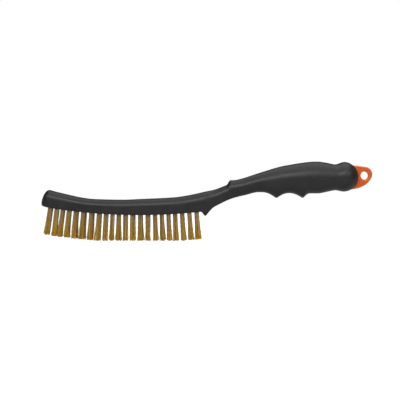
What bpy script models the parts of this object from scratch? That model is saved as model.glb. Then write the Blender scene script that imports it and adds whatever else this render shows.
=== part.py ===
"""A two-row hand wire brush with a two-shot handle.

The pieces are the hard orange core with its hanging eye, the black shell moulded over it, one
tuft of brass wire in each drilled hole, and a flat anchor wire along each row that holds the
folded tufts down. The brush lies along X with its tip at -X and stands on its tips: the origin
is the middle of its bottom. The handle is symmetric about the plane Y = 0, and the two rows of
tufts are unevenly spaced, each in its own way.

Places along the brush are measured from its tip until place() moves them to the origin.
"""

import math

import bmesh
import bpy
from mathutils import Matrix, Vector

# Driving dimensions, in metres.
CLEARANCE = 0.0003  # between two pieces that seat on each other

TUFT_DIAMETER = 0.0040
TUFT_FLARE = 0.0005  # how much wider a tuft is at its tips than at the face
TUFT_SIDES = 8
FOLD_ROUNDING = 0.0010  # at the tuft's folded end
TRIM = 0.0228  # free length of the wires, from the face to the tips
BORE_DEPTH = 0.0080
HOLE_WEB = 0.0015  # plastic left between two neighbouring bores of a row
ROW_WEB = 0.0004  # plastic left between the two rows of bores
HEAD_EDGE = 0.0027  # land outside the bores
FIRST_TUFT_AT = 0.0068
LAST_TUFT_BACK = 0.0070  # from the last tuft to the guard's tip
FAN = 0.8  # how far the tufts lean to follow the face: 1 is square to it
SWING_SHARE = 0.75  # how far the spacing swings at the tip, as a share of the web
SWING_TUFTS = 7.6  # it swings once in this many tufts
SWING_FADE = 0.8  # the share of the swing that is gone by the last tuft
ROW_LAG = 0.5  # how far the back row's swing runs ahead, in radians

ANCHOR_HEIGHT = 0.0018
ANCHOR_THICKNESS = 0.0004
ANCHOR_ABOVE_FACE = 0.0048  # from the face up to the anchor wire's lower edge
ANCHOR_OVERRUN = 0.0010  # how far it runs past the first and the last tuft

HEAD_LENGTH = 0.1425  # tip to guard
NECK_LENGTH = 0.0202  # guard to thumb step
GRIP_LENGTH = 0.1130  # thumb step to the end of the shell
FACE_RADIUS = 0.490
FACE_LOW_AT = 0.0858  # the face's lowest point
NECK_WIDTH = 0.0124
GRIP_WIDTH = 0.0238
NOSE_HEIGHT = 0.0027  # from the face up to the nose's foremost point
NOSE_LEAN = 1.6  # above 1, the nose leans back further

HEAD_SKIN = 0.0016  # the shell's thickness over the core
GRIP_SKIN = 0.0026

GUARD_DROP = 0.0040
GUARD_FORE = 0.0028
GUARD_AFT = 0.0078
GUARD_ROUNDING = 0.0018
THUMB_STEP = 0.0031
THUMB_RAMP = 0.0034
THUMB_FADE = 0.0062
POMMEL_SWELL = 0.0013
POMMEL_BACK = 0.0122  # from the pommel's crest to the end of the shell
POMMEL_REACH = 0.0080
DOME_DEPTH = 0.0090  # the rounded end of the shell
NOSE_DEPTH = 0.0080

EYE_THICKNESS = 0.0058
EYE_HOLE_DIAMETER = 0.0072
EYE_RIM = 0.0029  # plastic beside the hole
EYE_RISE = 0.0010  # how much thicker the rim is above the hole
EYE_BACK = 0.0055  # from the end of the shell to the hole's centre
EYE_EDGE = 0.0007  # chamfer around the eye
EYE_LIFT = 0.0012  # how far the hole lies above the middle of the grip's end
EYE_ROOT_ABOVE = 0.0102  # from that middle up to the tab's top, where it leaves the shell
EYE_ROOT_BELOW = 0.0109
EYE_ROOT_DEPTH = 0.0057  # from that place to the end of the shell
EYE_ARC = (-25, 84)  # the round stretch of the eye's outline, degrees
EYE_ARC_POINTS = 13
EYE_HOLE_SIDES = 20
EYE_BELLY_SLOPE = 0.12
EYE_TANG_HEIGHT = 0.0140  # its height inside the grip
EYE_TANG_DEPTH = 0.0180

WINDOW_LENGTH = 0.0120
WINDOW_HEIGHT = 0.0050
WINDOW_AT = (0.32, 0.52, 0.72)  # shares of the grip's length, from the thumb step
WINDOW_END_POINTS = 5  # on each round end of a window

# Shapes along the brush. A share runs over the head, or from the guard to the shell's end.
HEAD_THICKNESS = (
    (0.00, 0.0168),
    (0.10, 0.0147),
    (0.33, 0.0124),
    (0.50, 0.0132),
    (0.60, 0.0140),
    (0.81, 0.0146),
    (0.92, 0.0158),
    (1.00, 0.0172),
)
HANDLE_TOP = (
    (0.06, 0.0189),
    (0.14, 0.0229),
    (0.37, 0.0341),
    (0.53, 0.0400),
    (0.73, 0.0433),
    (0.79, 0.0424),
    (0.85, 0.0409),
    (0.91, 0.0417),
    (1.00, 0.0412),
)
HANDLE_UNDERSIDE = (
    (0.00, -0.0002),
    (0.06, 0.0039),
    (0.17, 0.0108),
    (0.27, 0.0143),
    (0.35, 0.0166),
    (0.55, 0.0158),
    (0.73, 0.0155),
    (0.86, 0.0183),
    (1.00, 0.0186),
)
GRIP_SWELL = ((0.16, 0.00), (0.36, 0.35), (0.55, 0.80), (0.73, 1.00), (0.86, 0.88), (1.00, 0.84))
# Each finger ridge: its share of the way from the guard, depth, and reach fore and aft.
FINGER_RIDGES = ((0.466, 0.0046, 0.0120, 0.0110), (0.638, 0.0039, 0.0112, 0.0060))
TIP_ROUNDING = 0.0009

SHOULDER = 0.47  # the widest level of a section, as a share of its height
# The exponents of a section's upper and lower half: 2 is an ellipse, 9 is nearly a box.
HEAD_ROUNDNESS = (2.3, 9.0)
GRIP_ROUNDNESS = (2.1, 2.2)
CUSP_HOLLOW = 2.2
END_OPENING = 0.12  # the size of the first and last section, as a share of the full one
RING = 24
CORE_RING = 12
HEAD_STEP = 0.0062
HANDLE_STEP = 0.0033
LEAST_STEP = 0.0011
CORE_STEP = 0.0080
ROUNDED_END_RINGS = 6
# Where extra sections are cut, as shares of a feature's reach.
GUARD_FORE_RINGS = (-1.5, -1, -0.5, 0)
GUARD_AFT_RINGS = (0.15, 0.3, 0.5, 0.75)
THUMB_RINGS = (-0.5, -0.2, 0.1, 0.4, 0.8)
RIDGE_RINGS = (0.08, 0.2)
BOW_POINTS = 6
SHARP_ANGLE = math.radians(35)

# Worked out from the above.
BORE_DIAMETER = TUFT_DIAMETER + 2 * CLEARANCE
TUFT_PITCH = BORE_DIAMETER + HOLE_WEB
ROW_SPACING = BORE_DIAMETER + ROW_WEB
SPACING_SWING = SWING_SHARE * HOLE_WEB
HEAD_WIDTH = ROW_SPACING + BORE_DIAMETER + 2 * HEAD_EDGE
GUARD_X = HEAD_LENGTH
THUMB_X = GUARD_X + NECK_LENGTH
END_X = THUMB_X + GRIP_LENGTH
EYE_X = END_X + EYE_BACK
EYE_RADIUS = EYE_HOLE_DIAMETER / 2 + EYE_RIM
LENGTH = EYE_X + EYE_RADIUS
HANDLE_LENGTH = END_X - GUARD_X
CORE_START_X = 2 * HEAD_SKIN
CORE_END_X = END_X - DOME_DEPTH - GRIP_SKIN
BEYOND = 0.0020  # how far a cutter runs past the surface that it opens

BLACK = (0.012, 0.012, 0.013)
ORANGE = (0.72, 0.13, 0.012)
BRASS = (0.62, 0.42, 0.14)
STEEL = (0.45, 0.45, 0.46)


def clear_scene():
    for thing in list(bpy.data.objects):
        bpy.data.objects.remove(thing, do_unlink=True)


def new_collection(name):
    made = bpy.data.collections.new(name)
    bpy.context.scene.collection.children.link(made)
    return made


def principled(name, colour, roughness, metallic):
    made = bpy.data.materials.new(name)
    made.use_nodes = True
    shader = made.node_tree.nodes["Principled BSDF"]
    shader.inputs["Base Color"].default_value = (*colour, 1)
    shader.inputs["Roughness"].default_value = roughness
    shader.inputs["Metallic"].default_value = metallic
    return made


def place(x, y, z):
    """A point given from the brush's tip, moved to the frame whose origin is its middle."""
    return Vector((x - LENGTH / 2, y, z))


# The lines that the brush is drawn from.


def smooth(points, x):
    """A curve through the points that never overshoots them, flat beyond its ends."""
    if x <= points[0][0]:
        return points[0][1]
    if x >= points[-1][0]:
        return points[-1][1]
    runs = [b[0] - a[0] for a, b in zip(points, points[1:])]
    rises = [(b[1] - a[1]) / run for (a, b), run in zip(zip(points, points[1:]), runs)]
    slopes = [rises[0]]
    for before, after in zip(rises, rises[1:]):
        turning = before * after <= 0
        slopes.append(0 if turning else 2 * before * after / (before + after))
    slopes.append(rises[-1])
    i = max(k for k, point in enumerate(points[:-1]) if point[0] <= x)
    t = (x - points[i][0]) / runs[i]
    start = (1 + 2 * t) * (1 - t) ** 2 * points[i][1]
    end = t * t * (3 - 2 * t) * points[i + 1][1]
    bend = t * (1 - t) ** 2 * slopes[i] - t * t * (1 - t) * slopes[i + 1]
    return start + end + bend * runs[i]


def ease(t):
    """0 to 1 with level ends."""
    t = min(max(t, 0), 1)
    return t * t * (3 - 2 * t)


def cusp(distance, fore, aft, rounding):
    """A crest of height 1 with hollow flanks and a rounded tip."""
    reach = fore if distance < 0 else aft
    rounded = math.hypot(distance, rounding) - rounding
    return max(0, 1 - rounded / reach) ** CUSP_HOLLOW


def face_height(x):
    """The face that the tufts stand on, an arc whose centre is above the brush."""
    return TRIM + FACE_RADIUS - math.sqrt(FACE_RADIUS**2 - (x - FACE_LOW_AT) ** 2)


def head_points(shares):
    return [(s * GUARD_X, face_height(s * GUARD_X) + rise) for s, rise in shares]


def handle_points(shares):
    base = face_height(GUARD_X)
    return [(GUARD_X + s * HANDLE_LENGTH, base + rise) for s, rise in shares]


TOP_LINE = head_points(HEAD_THICKNESS) + handle_points(HANDLE_TOP)
UNDERSIDE_LINE = handle_points(HANDLE_UNDERSIDE)
GRIP_MIDDLE = (TOP_LINE[-1][1] + UNDERSIDE_LINE[-1][1]) / 2


def top_height(x):
    return smooth(TOP_LINE, x)


def underside_height(x):
    return face_height(x) if x <= GUARD_X else smooth(UNDERSIDE_LINE, x)


def half_width(x):
    past_guard = (x - GUARD_X) / HANDLE_LENGTH
    swell = smooth(GRIP_SWELL, past_guard)
    waist = ease((x - GUARD_X + GUARD_FORE) / (GUARD_FORE + GUARD_AFT))
    width = HEAD_WIDTH + waist * (NECK_WIDTH - HEAD_WIDTH)
    return (width + swell * (GRIP_WIDTH - NECK_WIDTH)) / 2


def thumb_bump(x):
    rise = ease((x - THUMB_X) / THUMB_RAMP + 0.5)
    fade = math.exp(-max(0, x - THUMB_X - THUMB_RAMP / 2) / THUMB_FADE)
    return THUMB_STEP * rise * fade


def pommel_bump(x):
    away = (x - (END_X - POMMEL_BACK)) / POMMEL_REACH
    return POMMEL_SWELL * (0.5 + 0.5 * math.cos(math.pi * away)) if abs(away) < 1 else 0


def ridge_drop(x):
    drop = GUARD_DROP * cusp(x - GUARD_X, GUARD_FORE, GUARD_AFT, GUARD_ROUNDING)
    for share, depth, fore, aft in FINGER_RIDGES:
        drop += depth * cusp(x - GUARD_X - share * HANDLE_LENGTH, fore, aft, TIP_ROUNDING)
    return drop


def closing(x):
    """How far the section has opened: 1 along the brush, falling to 0 on its rounded ends."""
    nose = 1 - min(x, NOSE_DEPTH) / NOSE_DEPTH
    dome = 1 - min(END_X - x, DOME_DEPTH) / DOME_DEPTH
    return math.sqrt(max(0, 1 - max(nose, dome) ** 2))


def ring_points(half, low, high, shoulder, powers, count, x):
    """A section: an upper and a lower superellipse that meet at the shoulder."""
    points = []
    for k in range(count):
        angle = 2 * math.pi * k / count
        across, up = math.cos(angle), math.sin(angle)
        power = 2 / (powers[0] if up > 0 else powers[1])
        reach = high - shoulder if up > 0 else shoulder - low
        y = half * math.copysign(abs(across) ** power, across)
        z = shoulder + reach * math.copysign(abs(up) ** power, up)
        points.append(place(x, y, z))
    return points


def squareness(x):
    """The exponents of a section's two halves: the head is flat below, the grip is oval."""
    past_guard = ease((x - GUARD_X + GUARD_FORE) / (2 * NECK_LENGTH))
    return [a + (b - a) * past_guard for a, b in zip(HEAD_ROUNDNESS, GRIP_ROUNDNESS)]


def shell_ring(x):
    opened = max(closing(x), END_OPENING)
    high = top_height(x) + thumb_bump(x) + pommel_bump(x)
    low = underside_height(x) - pommel_bump(x)
    # The nose leans back from a point just above the face, and the dome closes to the middle.
    on_nose = x < NOSE_DEPTH
    end_level = low + NOSE_HEIGHT if on_nose else GRIP_MIDDLE
    high = end_level + (high - end_level) * (opened**NOSE_LEAN if on_nose else opened)
    low = end_level + (low - end_level) * (math.sqrt(opened) if on_nose else opened)
    half = (half_width(x) + pommel_bump(x)) * opened
    # The guard and the ridges hang below the shoulder without moving it.
    shoulder = low + SHOULDER * (high - low)
    return ring_points(half, low - ridge_drop(x), high, shoulder, squareness(x), RING, x)


def core_ring(x, grow, shift=0.0):
    """The core's section, a skin's thickness inside the shell; shift moves it along X."""
    skin = HEAD_SKIN + (GRIP_SKIN - HEAD_SKIN) * ease((x - GUARD_X) / NECK_LENGTH) - grow
    opened = closing(x)
    half = half_width(x) * opened - skin
    low, high = underside_height(x) + skin, top_height(x) - skin
    if x < NOSE_DEPTH:
        high = low + (high - low) * opened
    shoulder = low + SHOULDER * (high - low)
    return ring_points(half, low, high, shoulder, squareness(x), CORE_RING, x + shift)


def evenly(first, last, step):
    count = max(1, round((last - first) / step))
    return [first + (last - first) * k / count for k in range(count + 1)]


def without_neighbours(places, kept, apart):
    """The places, less those too near one that is kept, with the kept ones added."""
    return sorted(kept + [p for p in places if all(abs(p - k) > apart for k in kept)])


# Meshes.


def mesh_object(name, bm, collection):
    bmesh.ops.recalc_face_normals(bm, faces=bm.faces)
    mesh = bpy.data.meshes.new(name)
    bm.to_mesh(mesh)
    bm.free()
    made = bpy.data.objects.new(name, mesh)
    collection.objects.link(made)
    return made


def loft(name, rings, collection):
    """A skin through the rings, closed at both ends."""
    bm = bmesh.new()
    rows = [[bm.verts.new(point) for point in ring] for ring in rings]
    for first, second in zip(rows, rows[1:]):
        for k in range(len(first)):
            after = (k + 1) % len(first)
            bm.faces.new((first[k], first[after], second[after], second[k]))
    bm.faces.new(rows[0])
    bm.faces.new(rows[-1])
    return mesh_object(name, bm, collection)


def plate(name, outline, thickness, collection, y=0.0, chamfer=0.0):
    """A flat piece cut to an outline of (x, z) points and centred on the given y."""
    curve = bpy.data.curves.new(name, "CURVE")
    curve.dimensions = "2D"
    curve.fill_mode = "BOTH"
    curve.extrude = thickness / 2
    spline = curve.splines.new("POLY")
    spline.points.add(len(outline) - 1)
    for point, (x, z) in zip(spline.points, outline):
        point.co = (x, z, 0, 1)
    spline.use_cyclic_u = True
    flat = bpy.data.objects.new(name, curve)
    bpy.context.scene.collection.objects.link(flat)
    flat.matrix_world = Matrix.Translation(place(0, y, 0)) @ Matrix.Rotation(math.pi / 2, 4, "X")
    bpy.context.view_layer.update()
    graph = bpy.context.evaluated_depsgraph_get()
    bm = bmesh.new()
    bm.from_mesh(bpy.data.meshes.new_from_object(flat.evaluated_get(graph)))
    bmesh.ops.remove_doubles(bm, verts=bm.verts, dist=1e-6)
    if chamfer:
        flat_sides = {"angle_limit": math.radians(1), "verts": bm.verts, "edges": bm.edges}
        bmesh.ops.dissolve_limit(bm, **flat_sides)
        rim = [e for e in bm.edges if abs(e.verts[0].co.z - e.verts[1].co.z) < thickness / 2]
        bmesh.ops.bevel(bm, geom=rim, offset=chamfer, segments=1, affect="EDGES")
    bm.transform(flat.matrix_world)
    bpy.data.objects.remove(flat, do_unlink=True)
    return mesh_object(name, bm, collection)


def as_cutter(thing):
    thing.hide_render = True
    thing.display_type = "WIRE"
    return thing


def boolean(thing, other, operation):
    change = thing.modifiers.new(f"{operation.lower()}_{other.name}", "BOOLEAN")
    change.operation = operation
    change.object = other
    change.solver = "EXACT"


def finish(thing, material):
    thing.data.materials.append(material)
    thing.data.shade_smooth()
    thing.data.set_sharp_from_angle(angle=SHARP_ANGLE)


# The tufts and what holds them.


def tuft_places(row):
    """Where a row's tufts leave the face. Their spacing swings, most of all near the tip."""
    room = GUARD_X - LAST_TUFT_BACK - FIRST_TUFT_AT
    count = int(room / TUFT_PITCH) + 1
    places = []
    for k in range(count):
        swing = SPACING_SWING * (1 - SWING_FADE * k / count)
        turn = 2 * math.pi * k / SWING_TUFTS + ROW_LAG * row
        places.append(FIRST_TUFT_AT + k * TUFT_PITCH + swing * math.cos(turn))
    return places


def row_offset(row):
    return (row - 0.5) * ROW_SPACING


def tuft_matrix(x, row):
    """The tuft's own frame: its origin on the face, its Z up into the head."""
    lean = FAN * math.asin((x - FACE_LOW_AT) / FACE_RADIUS)
    spot = place(x, row_offset(row), face_height(x))
    return Matrix.Translation(spot) @ Matrix.Rotation(-lean, 4, "Y")


def cone_between(bm, low, high, radius_low, radius_high, sides, matrix):
    middle = Matrix.Translation((0, 0, (low + high) / 2))
    bmesh.ops.create_cone(
        bm,
        cap_ends=True,
        segments=sides,
        radius1=radius_low,
        radius2=radius_high,
        depth=high - low,
        matrix=matrix @ middle,
    )


def make_tuft(name, x, row, collection):
    """A folded bundle of wires, rounded at the fold, where the anchor wire crosses it."""
    bm = bmesh.new()
    root = TUFT_DIAMETER / 2
    tips = root + TUFT_FLARE / 2
    cone_between(bm, -TRIM, BORE_DEPTH, tips, root, TUFT_SIDES, Matrix())
    rim = [e for e in bm.edges if all(v.co.z > 0 for v in e.verts)]
    bmesh.ops.bevel(bm, geom=rim, offset=FOLD_ROUNDING, segments=1, affect="EDGES")
    made = mesh_object(name, bm, collection)
    made.matrix_world = tuft_matrix(x, row)
    return made


def make_bores(collection):
    bm = bmesh.new()
    radius = BORE_DIAMETER / 2
    for row in (0, 1):
        for x in tuft_places(row):
            top = BORE_DEPTH + CLEARANCE
            cone_between(bm, -BEYOND, top, radius, radius, TUFT_SIDES, tuft_matrix(x, row))
    return as_cutter(mesh_object("tuft_bores", bm, collection))


def anchor_outline(row, grow):
    """The band that an anchor wire covers, seen from the side."""
    places = tuft_places(row)
    reach = TUFT_DIAMETER / 2 + ANCHOR_OVERRUN + grow
    centre_z = TRIM + FACE_RADIUS
    lower = FACE_RADIUS - ANCHOR_ABOVE_FACE + grow
    upper = lower - ANCHOR_HEIGHT - 2 * grow
    along = evenly(places[0] - reach, places[-1] + reach, TUFT_PITCH)
    angles = [math.asin((x - FACE_LOW_AT) / FACE_RADIUS) for x in along]
    outline = []
    for radius, turns in ((lower, angles), (upper, angles[::-1])):
        for angle in turns:
            spot = (FACE_LOW_AT + radius * math.sin(angle), centre_z - radius * math.cos(angle))
            outline.append(spot)
    return outline


def make_anchor(name, row, collection, grow=0.0):
    thickness = ANCHOR_THICKNESS + 2 * grow
    return plate(name, anchor_outline(row, grow), thickness, collection, row_offset(row))


# The handle.


def make_shell(collection):
    turns = [math.pi / 2 * k / ROUNDED_END_RINGS for k in range(ROUNDED_END_RINGS + 1)]
    kept = [NOSE_DEPTH * (1 - math.cos(turn)) for turn in turns]
    kept += [END_X - DOME_DEPTH * (1 - math.cos(turn)) for turn in turns]
    kept += [GUARD_X + GUARD_FORE * share for share in GUARD_FORE_RINGS]
    kept += [GUARD_X + GUARD_AFT * share for share in GUARD_AFT_RINGS]
    kept += [THUMB_X + THUMB_RAMP * share for share in THUMB_RINGS]
    for share, _, fore, aft in FINGER_RIDGES:
        crest = GUARD_X + share * HANDLE_LENGTH
        kept += [crest]
        kept += [crest - fore * near for near in RIDGE_RINGS]
        kept += [crest + aft * near for near in RIDGE_RINGS]
    head = evenly(NOSE_DEPTH, GUARD_X, HEAD_STEP)
    handle = evenly(GUARD_X, END_X - DOME_DEPTH, HANDLE_STEP)
    places = without_neighbours(head + handle[1:], kept, LEAST_STEP)
    return loft("handle_overmould", [shell_ring(x) for x in places], collection)


def core_shank(name, collection, grow):
    head = evenly(CORE_START_X, GUARD_X, CORE_STEP)
    handle = evenly(GUARD_X, CORE_END_X, CORE_STEP)
    rings = [core_ring(x, grow) for x in head[1:] + handle[1:-1]]
    first, last = core_ring(head[0], grow, -grow), core_ring(handle[-1], grow, grow)
    return loft(name, [first, *rings, last], collection)


def bow(start, slope, end, angle):
    """A curve that leaves the start at a slope and runs onto an arc at the angle of its end."""
    run, rise = end[0] - start[0], end[1] - start[1]
    back = (rise - slope * run) / (math.cos(angle) + slope * math.sin(angle))
    corner = (end[0] + back * math.sin(angle), end[1] - back * math.cos(angle))
    points = []
    for k in range(BOW_POINTS):
        t = k / BOW_POINTS
        a, b, c = (1 - t) ** 2, 2 * t * (1 - t), t * t
        points.append(tuple(a * p + b * q + c * r for p, q, r in zip(start, corner, end)))
    return points


def eye_outline(grow):
    """The tab's side view: an arc beyond the hole, a straight back and a bowed belly."""
    centre_x, centre_z = EYE_X, GRIP_MIDDLE + EYE_LIFT + EYE_RISE
    radius = EYE_RADIUS + grow
    root_x, tang_x = END_X - EYE_ROOT_DEPTH, END_X - EYE_TANG_DEPTH - grow
    above, below = EYE_ROOT_ABOVE + grow, EYE_ROOT_BELOW + grow
    tang = EYE_TANG_HEIGHT / 2 + grow
    first, last = math.radians(EYE_ARC[0]), math.radians(EYE_ARC[1])
    arc = evenly(first, last, (last - first) / (EYE_ARC_POINTS - 1))
    outline = [(centre_x + radius * math.cos(a), centre_z + radius * math.sin(a)) for a in arc]
    outline += [(root_x, GRIP_MIDDLE + above), (tang_x, GRIP_MIDDLE + tang)]
    outline += [(tang_x, GRIP_MIDDLE - tang)]
    return outline + bow((root_x, GRIP_MIDDLE - below), EYE_BELLY_SLOPE, outline[0], arc[0])


def make_eye_bore(collection):
    bm = bmesh.new()
    radius, reach = EYE_HOLE_DIAMETER / 2, EYE_THICKNESS / 2 + BEYOND
    spot = Matrix.Translation(place(EYE_X, 0, GRIP_MIDDLE + EYE_LIFT))
    across = spot @ Matrix.Rotation(math.pi / 2, 4, "X")
    cone_between(bm, -reach, reach, radius, radius, EYE_HOLE_SIDES, across)
    return as_cutter(mesh_object("eye_bore", bm, collection))


def window_outline(share, shrink):
    centre_x = THUMB_X + share * GRIP_LENGTH
    centre_z = (top_height(centre_x) + underside_height(centre_x)) / 2
    radius = WINDOW_HEIGHT / 2 - shrink
    straight = (WINDOW_LENGTH - WINDOW_HEIGHT) / 2
    outline = []
    for side in (1, -1):
        for k in range(WINDOW_END_POINTS):
            angle = math.pi / 2 - math.pi * k / (WINDOW_END_POINTS - 1)
            away = side * (straight + radius * math.cos(angle))
            outline.append((centre_x + away, centre_z + side * radius * math.sin(angle)))
    return outline


def cut_windows(core, collection, shrink):
    for k, share in enumerate(WINDOW_AT):
        name = f"{core.name}_window_{k + 1}"
        outline = window_outline(share, shrink)
        cutter = plate(name, outline, GRIP_WIDTH, collection)
        boolean(core, as_cutter(cutter), "DIFFERENCE")


def core_body(name, collection, helpers, grow=0.0):
    """The core's solid form: the shank with the eye's tab joined to its end."""
    core = core_shank(name, collection, grow)
    chamfer = 0.0 if grow else EYE_EDGE
    thickness = EYE_THICKNESS + 2 * grow
    tab = plate(f"{name}_tab", eye_outline(grow), thickness, helpers, chamfer=chamfer)
    boolean(core, as_cutter(tab), "UNION")
    cut_windows(core, helpers, grow)
    return core


def build():
    clear_scene()
    parts = new_collection("wire_brush")
    helpers = new_collection("cutters")
    black = principled("satin_black_plastic", BLACK, 0.42, 0.0)
    orange = principled("orange_plastic", ORANGE, 0.35, 0.0)
    brass = principled("brass_wire", BRASS, 0.38, 1.0)
    steel = principled("anchor_steel", STEEL, 0.35, 1.0)

    bores = make_bores(helpers)
    core = core_body("handle_core", parts, helpers)
    pocket = as_cutter(core_body("core_pocket", helpers, helpers, CLEARANCE))
    boolean(core, make_eye_bore(helpers), "DIFFERENCE")
    boolean(core, bores, "DIFFERENCE")
    shell = make_shell(parts)
    boolean(shell, pocket, "DIFFERENCE")
    boolean(shell, bores, "DIFFERENCE")
    for row, side in enumerate(("front", "back")):
        anchor = make_anchor(f"anchor_wire_{side}", row, parts)
        finish(anchor, steel)
        channel = as_cutter(make_anchor(f"channel_{side}", row, helpers, CLEARANCE))
        boolean(core, channel, "DIFFERENCE")
        for k, x in enumerate(tuft_places(row)):
            tuft = make_tuft(f"tuft_{side}_{k + 1:02d}", x, row, parts)
            boolean(tuft, channel, "DIFFERENCE")
            finish(tuft, brass)
    finish(core, orange)
    finish(shell, black)


build()
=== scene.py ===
# %% [markdown]
# # A two-row hand wire brush
#
# The brush is a black moulded handle with an orange hanging eye and two rows of brass wire
# tufts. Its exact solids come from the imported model, and this lesson gives them their looks:
# a finer shell, a rounded eye and real folded wires, each with a finish built from nodes.
#
# X runs along the brush from the head's tip to the eye, Y goes across it, and Z is up. The
# wire tips are at Z = 0. Everything is in metres.

# %% Load the exact model
import math

import bmesh
import bpy
import numpy as np
from mathutils import Matrix, Vector


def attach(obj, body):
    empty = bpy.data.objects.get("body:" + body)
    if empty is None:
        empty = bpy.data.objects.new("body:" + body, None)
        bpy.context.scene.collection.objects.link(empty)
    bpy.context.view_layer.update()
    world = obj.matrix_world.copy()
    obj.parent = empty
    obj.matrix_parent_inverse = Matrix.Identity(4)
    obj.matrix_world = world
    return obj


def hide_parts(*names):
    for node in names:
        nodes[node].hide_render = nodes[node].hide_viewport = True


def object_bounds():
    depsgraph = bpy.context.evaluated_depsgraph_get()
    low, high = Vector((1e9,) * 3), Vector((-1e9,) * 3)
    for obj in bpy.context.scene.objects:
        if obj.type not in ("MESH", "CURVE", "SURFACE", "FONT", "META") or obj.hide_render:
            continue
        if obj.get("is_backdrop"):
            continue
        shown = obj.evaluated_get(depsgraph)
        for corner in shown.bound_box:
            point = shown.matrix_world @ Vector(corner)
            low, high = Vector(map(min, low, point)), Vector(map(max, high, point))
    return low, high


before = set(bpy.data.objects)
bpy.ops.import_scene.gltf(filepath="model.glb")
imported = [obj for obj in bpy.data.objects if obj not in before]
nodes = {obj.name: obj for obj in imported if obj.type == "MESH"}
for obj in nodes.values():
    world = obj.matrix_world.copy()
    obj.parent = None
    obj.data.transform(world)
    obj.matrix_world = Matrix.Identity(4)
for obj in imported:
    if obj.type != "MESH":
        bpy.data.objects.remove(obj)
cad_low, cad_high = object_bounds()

print(f"{len(nodes)} exact pieces, {(cad_high.x - cad_low.x) * 1000:.1f} mm long")

# %% [markdown]
# ## The camera
#
# The brush is seen square from its side. A long lens some half a metre away keeps the near and
# the far row of tufts almost in line, as in a catalogue picture. A shorter lens would spread
# them apart, and a flat projection would hide the far wall of the eye's hole.

# %% The camera
CAMERA_DISTANCE = 0.526
PICTURE_WIDTH = 0.3488  # what the picture takes in at the brush's middle plane
SENSOR = 36.0

camera = bpy.data.objects.new("camera", bpy.data.cameras.new("camera"))
bpy.context.scene.collection.objects.link(camera)
camera.data.sensor_width = SENSOR
camera.data.lens = SENSOR * CAMERA_DISTANCE / PICTURE_WIDTH
camera.location = (-0.00585, -CAMERA_DISTANCE, 0.0359)
camera.rotation_euler = (math.pi / 2, 0, 0)
bpy.context.scene.camera = camera
bpy.context.scene.view_settings.view_transform = "Standard"
print(f"a lens of {camera.data.lens:.1f} mm")

# %% [markdown]
# ## Writing materials as sums
#
# A material is a network of nodes. Placing them by hand is slow to read, so one small class
# stands for a node's output and knows the usual operators: writing `0.4 + 0.1 * cloud` adds the
# two Math nodes. Every other node comes from `Finish.node`, which takes the node's type, then
# its settings, then what goes into its sockets.


# %% A node's output that works in sums
class Value:
    """One output of a material's nodes. Sums and products of values add Math nodes."""

    def __init__(self, finish, socket):
        self.finish = finish
        self.socket = socket

    def _math(self, operation, *terms):
        sockets = dict(enumerate(terms))
        return self.finish.node("Math", {"operation": operation}, sockets)

    def __add__(self, other):
        return self._math("ADD", self, other)

    def __sub__(self, other):
        return self._math("SUBTRACT", self, other)

    def __rsub__(self, other):
        return self._math("SUBTRACT", other, self)

    def __mul__(self, other):
        return self._math("MULTIPLY", self, other)

    def __truediv__(self, other):
        return self._math("DIVIDE", self, other)

    def __abs__(self):
        return self._math("ABSOLUTE", self)

    __radd__ = __add__
    __rmul__ = __mul__


# %% A material under construction
class Finish:
    """A Principled material whose nodes are added one call at a time."""

    def __init__(self, name, **constants):
        self.material = bpy.data.materials.new(name)
        self.material.use_nodes = True
        self.tree = self.material.node_tree
        self.shader = self.tree.nodes["Principled BSDF"]
        for socket, value in constants.items():
            self.set(self.shader, socket.replace("_", " "), value)

    def set(self, node, socket, value):
        """Puts a number, a colour or another node's output into a socket."""
        if isinstance(value, Value):
            self.tree.links.new(value.socket, node.inputs[socket])
        elif isinstance(value, tuple) and len(value) == 3 and node.inputs[socket].type == "RGBA":
            node.inputs[socket].default_value = (*value, 1)
        else:
            node.inputs[socket].default_value = value

    def node(self, kind, settings=None, sockets=None, out=0):
        made = self.tree.nodes.new("ShaderNode" + kind)
        for name, value in (settings or {}).items():
            if name == "stops":
                self.set_stops(made.color_ramp, value)
            else:
                setattr(made, name, value)
        for socket, value in (sockets or {}).items():
            self.set(made, socket, value)
        return Value(self, made.outputs[out])

    def set_stops(self, ramp, stops):
        while len(ramp.elements) < len(stops):
            ramp.elements.new(1)
        for element, (place, level) in zip(ramp.elements, stops):
            element.position = place
            element.color = (level, level, level, 1)

    def mix(self, share, first, second):
        """The first colour where the share is 0, and the second where it is 1."""
        return self.node("Mix", {"data_type": "RGBA"}, {0: share, 6: first, 7: second}, 2)

    def ramp(self, value, *stops):
        return self.node("ValToRGB", {"stops": stops}, {"Fac": value})

    def noise(self, where, scale, detail=2.0, roughness=0.5):
        sockets = {"Vector": where, "Scale": scale, "Detail": detail, "Roughness": roughness}
        return self.node("TexNoise", {}, sockets)

    def bump(self, height, distance, strength=1.0):
        sockets = {"Height": height, "Distance": distance, "Strength": strength}
        return self.node("Bump", {}, sockets)

    def paint(self, **values):
        for socket, value in values.items():
            self.set(self.shader, socket.replace("_", " "), value)


print("the operators are ready")

# %% [markdown]
# ## Satin black plastic
#
# The shell is a slightly soft plastic from a mould with a fine matt skin. Its black isn't one
# flat colour: the skin has a grain of about a third of a millimetre, faint clouds where the
# melt flowed, and the line along the top and the underside where the mould's halves met. A
# painted picture could carry this, but noise in the object's own space needs no unwrapping and
# has the same size everywhere.


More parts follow.
